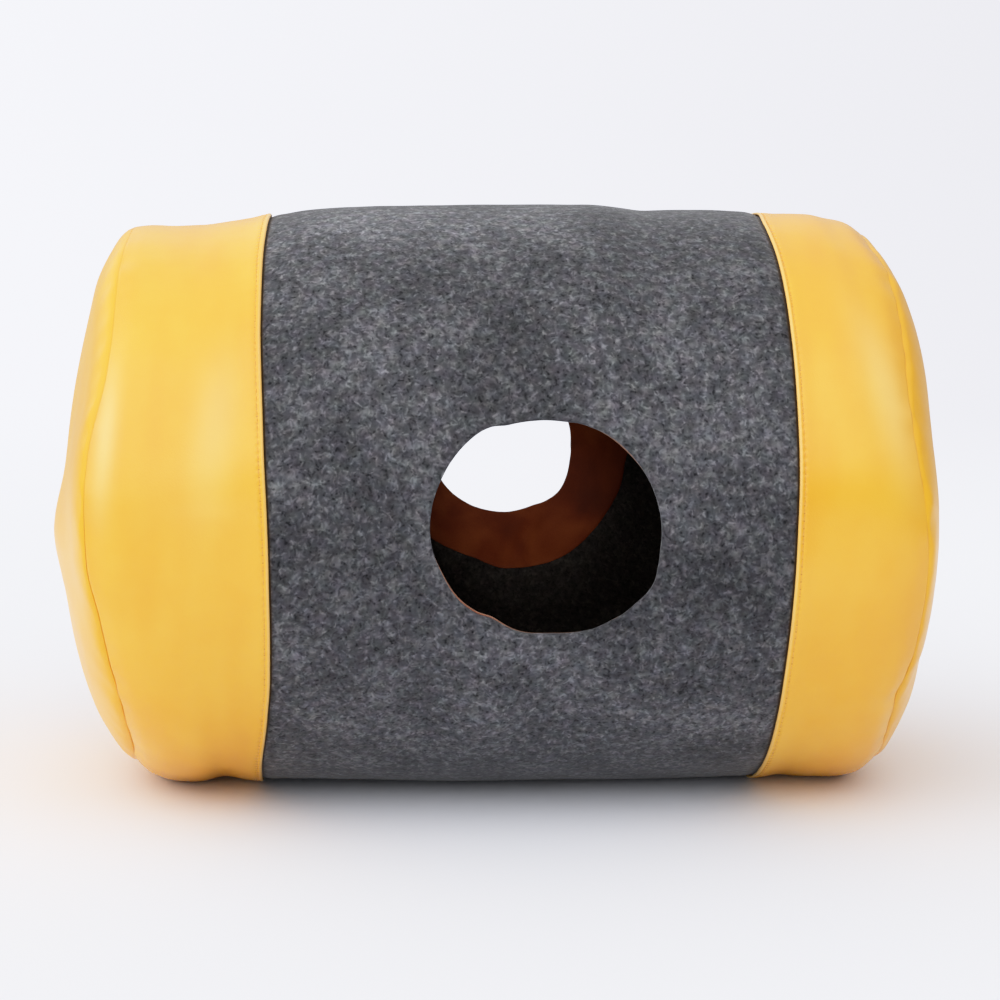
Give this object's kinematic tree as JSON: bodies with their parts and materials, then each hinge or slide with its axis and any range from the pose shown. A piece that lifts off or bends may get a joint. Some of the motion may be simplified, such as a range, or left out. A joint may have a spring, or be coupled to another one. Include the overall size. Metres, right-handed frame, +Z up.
{
  "type": "fabric cat house",
  "caption": "Soft barrel-shaped cat house lying on its side: grey felt wall with a round way in and a smaller one behind, leather end bands and domed end discs.",
  "frame": {"origin": "on the floor under the middle of the barrel (centre of the bounding box's underside)", "axes": "+X along the barrel, +Z up, -Y towards the side with the larger opening"},
  "size_m": [0.567, 0.3874, 0.3774],
  "materials": {
    "felt": "grey melange needle felt, matt, dark inner face",
    "leather": "smooth yellow coated leather, satin, fine grain",
    "facing": "chestnut brown coated leather, satin"
  },
  "bodies": {
    "root": {"felt_body": "felt", "left_band": "leather", "right_band": "leather", "left_end": "leather", "right_end": "leather", "front_facing": "facing", "rear_facing": "facing"}
  },
  "joints": []
}
